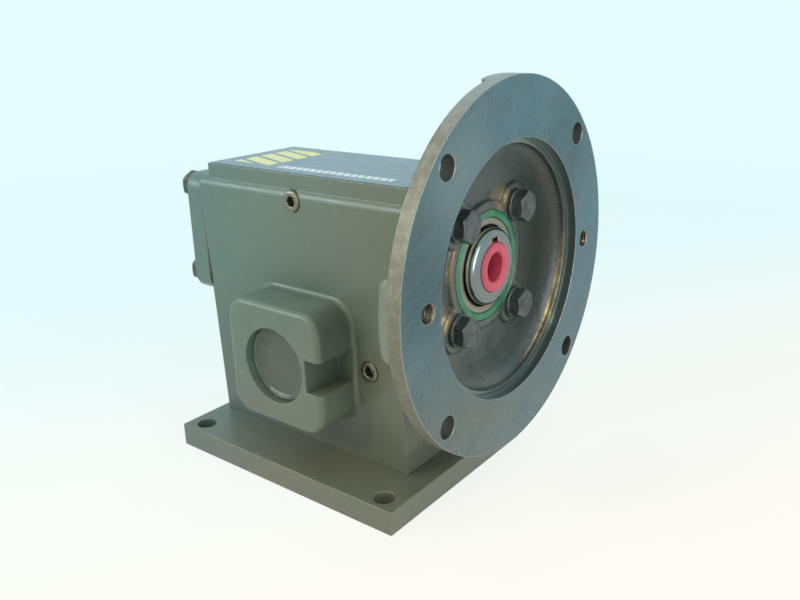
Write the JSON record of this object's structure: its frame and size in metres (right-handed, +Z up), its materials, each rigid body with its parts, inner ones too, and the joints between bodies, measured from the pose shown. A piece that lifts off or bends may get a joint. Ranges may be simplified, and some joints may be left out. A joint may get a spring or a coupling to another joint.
{
  "type": "worm gear reducer",
  "caption": "Compact right-angle worm gear reducer with a C-face motor flange, hollow input quill, foot plate and solid output shaft.",
  "frame": {"origin": "middle of the base plate underside, centre of the four foot bolt holes", "axes": "X out of the motor flange along the worm axis, Y along the output shaft, Z up"},
  "size_m": [0.1854, 0.1905, 0.1969],
  "materials": {
    "case_paint": "satin",
    "flange_iron": "machined",
    "black_bolt": "satin",
    "plug_zinc": "satin",
    "gasket": "matte",
    "seal_case": "satin",
    "seal_lip": "matte",
    "shaft_steel": "ground",
    "wheel_bronze": "machined",
    "red_plastic": "gloss",
    "bearing_steel": "polished",
    "cage_brass": "satin"
  },
  "bodies": {
    "housing": {"gear_housing": "case_paint", "pipe_plugs": "plug_zinc", "base_plate": "case_paint", "base_screws": "black_bolt", "motor_flange": "flange_iron", "flange_gasket": "gasket", "rear_cover_gasket": "gasket", "rear_cover": "case_paint", "flange_bolts": "black_bolt", "rear_cover_bolts": "black_bolt", "output_cover_bolts": "black_bolt", "input_seal_case": "seal_case", "input_seal_lip": "seal_lip", "output_seal_case": "seal_case", "output_seal_lip": "seal_lip", "output_cover": "case_paint", "output_cover_gasket": "gasket", "bore_cap": "case_paint", "worm_front_bearing_outer_ring": "bearing_steel", "worm_rear_bearing_outer_ring": "bearing_steel", "output_tail_bearing_outer_ring": "bearing_steel", "output_drive_bearing_outer_ring": "bearing_steel"},
    "worm": {"worm_shaft": "shaft_steel", "worm_retaining_ring": "shaft_steel", "worm_front_bearing_inner_ring": "bearing_steel", "worm_rear_bearing_inner_ring": "bearing_steel"},
    "plug": {"quill_plug": "red_plastic"},
    "output": {"worm_wheel": "wheel_bronze", "wheel_hub": "shaft_steel", "output_shaft": "shaft_steel", "wheel_key": "shaft_steel", "bearing_spacer": "shaft_steel", "output_tail_bearing_inner_ring": "bearing_steel", "output_drive_bearing_inner_ring": "bearing_steel"},
    "worm_front_cage": {"worm_front_bearing_balls": "bearing_steel", "worm_front_bearing_cage": "cage_brass"},
    "worm_rear_cage": {"worm_rear_bearing_balls": "bearing_steel", "worm_rear_bearing_cage": "cage_brass"},
    "output_tail_cage": {"output_tail_bearing_balls": "bearing_steel", "output_tail_bearing_cage": "cage_brass"},
    "output_drive_cage": {"output_drive_bearing_balls": "bearing_steel", "output_drive_bearing_cage": "cage_brass"}
  },
  "joints": [
    {"name": "worm_spin", "type": "hinge", "parent": "housing", "child": "worm", "pos_m": [0, 0, 0.1143], "axis": [1, 0, 0], "continuous": true},
    {"name": "output_spin", "type": "hinge", "parent": "housing", "child": "output", "pos_m": [0, 0, 0.0635], "axis": [0, 1, 0], "continuous": true},
    {"name": "worm_front_cage_spin", "type": "hinge", "parent": "housing", "child": "worm_front_cage", "pos_m": [0, 0, 0.1143], "axis": [1, 0, 0], "continuous": true},
    {"name": "worm_rear_cage_spin", "type": "hinge", "parent": "housing", "child": "worm_rear_cage", "pos_m": [0, 0, 0.1143], "axis": [1, 0, 0], "continuous": true},
    {"name": "output_tail_cage_spin", "type": "hinge", "parent": "housing", "child": "output_tail_cage", "pos_m": [0, 0, 0.0635], "axis": [0, 1, 0], "continuous": true},
    {"name": "output_drive_cage_spin", "type": "hinge", "parent": "housing", "child": "output_drive_cage", "pos_m": [0, 0, 0.0635], "axis": [0, 1, 0], "continuous": true},
    {"name": "plug_slide", "type": "slide", "parent": "worm", "child": "plug", "axis": [1, 0, 0], "range_m": [0, 0.1]}
  ],
  "couplings": [
    {"joint": "output_spin", "follows": "worm_spin", "ratio": -0.033333},
    {"joint": "worm_front_cage_spin", "follows": "worm_spin", "ratio": 0.43889},
    {"joint": "worm_rear_cage_spin", "follows": "worm_spin", "ratio": 0.38149},
    {"joint": "output_tail_cage_spin", "follows": "worm_spin", "ratio": -0.013615},
    {"joint": "output_drive_cage_spin", "follows": "worm_spin", "ratio": -0.013217}
  ]
}
